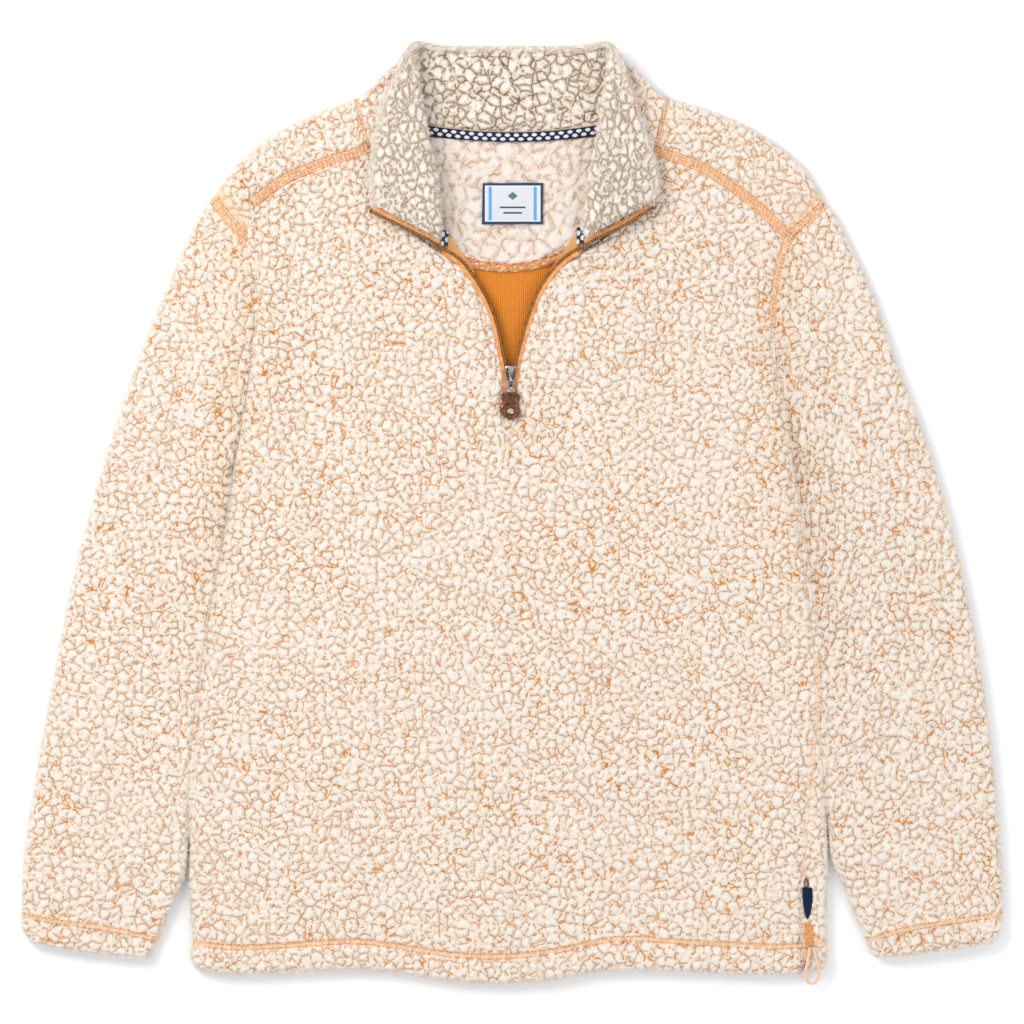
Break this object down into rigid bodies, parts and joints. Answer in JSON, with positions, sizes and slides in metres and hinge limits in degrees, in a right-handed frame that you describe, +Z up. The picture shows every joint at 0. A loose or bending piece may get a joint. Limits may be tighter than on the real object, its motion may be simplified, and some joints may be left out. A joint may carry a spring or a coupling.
{
  "type": "sherpa fleece pullover",
  "caption": "Adult sherpa fleece pullover laid flat: long sleeves, hemmed body and a rolled-open stand collar on a quarter zip with a leather pull.",
  "frame": {"origin": "Centre of the bounding box in plan, on the flat surface the garment rests on.", "axes": "+X is the viewer's right across the chest and sleeves, +Y runs up the garment from the hem to the collar, +Z points up out of the cloth towards the viewer."},
  "size_m": [0.7862, 0.7535, 0.031],
  "materials": {
    "sherpa": "curly high-pile sherpa fleece, cream tufts over a peach ground, with orange cover stitching at the seams",
    "collar_sherpa": "curly sherpa fleece, a greyer cream, with larger tufts",
    "orange_knit": "mustard-orange knit backing with fine vertical ribs",
    "zip_tape": "woven light orange zip tape",
    "neck_tape": "woven navy tape with a plain white lattice",
    "label": null,
    "antique_brass": "dark antique brass",
    "slider_metal": "brushed worn silver metal",
    "leather": "brown leather with burnished edges",
    "cord": "peach elastic cord",
    "thread": "peach and amber sewing thread, serged or satin stitched"
  },
  "bodies": {
    "garment": {"front": "sherpa", "back": "sherpa", "neck_facing": "sherpa", "sleeve_left": "sherpa", "sleeve_right": "sherpa", "collar_outer": "sherpa", "collar_inner": "collar_sherpa", "facing_binding": "thread", "cord_bartack": "thread", "neck_tape": "neck_tape", "neck_tape_end_left": "neck_tape", "neck_tape_end_right": "neck_tape", "side_tag": "neck_tape", "placket_facing_left": "orange_knit", "placket_facing_right": "orange_knit", "zip_tape_left": "zip_tape", "zip_tape_right": "zip_tape", "zip_chain_left": "antique_brass", "zip_chain_right": "antique_brass", "zip_chain_closed": "antique_brass", "zip_stop_left": "antique_brass", "zip_stop_right": "antique_brass", "zip_slider": "slider_metal", "neck_label": "label", "hem_cord": "cord"},
    "pull": {"pull_tab": "slider_metal", "pull_leather": "leather", "pull_rivet": "slider_metal"}
  },
  "joints": [
    {"name": "pull_swing", "type": "hinge", "parent": "garment", "child": "pull", "pos_m": [-0.001, 0.105, 0.0156], "axis": [-1, 0, 0], "range_deg": [0, 150]}
  ]
}
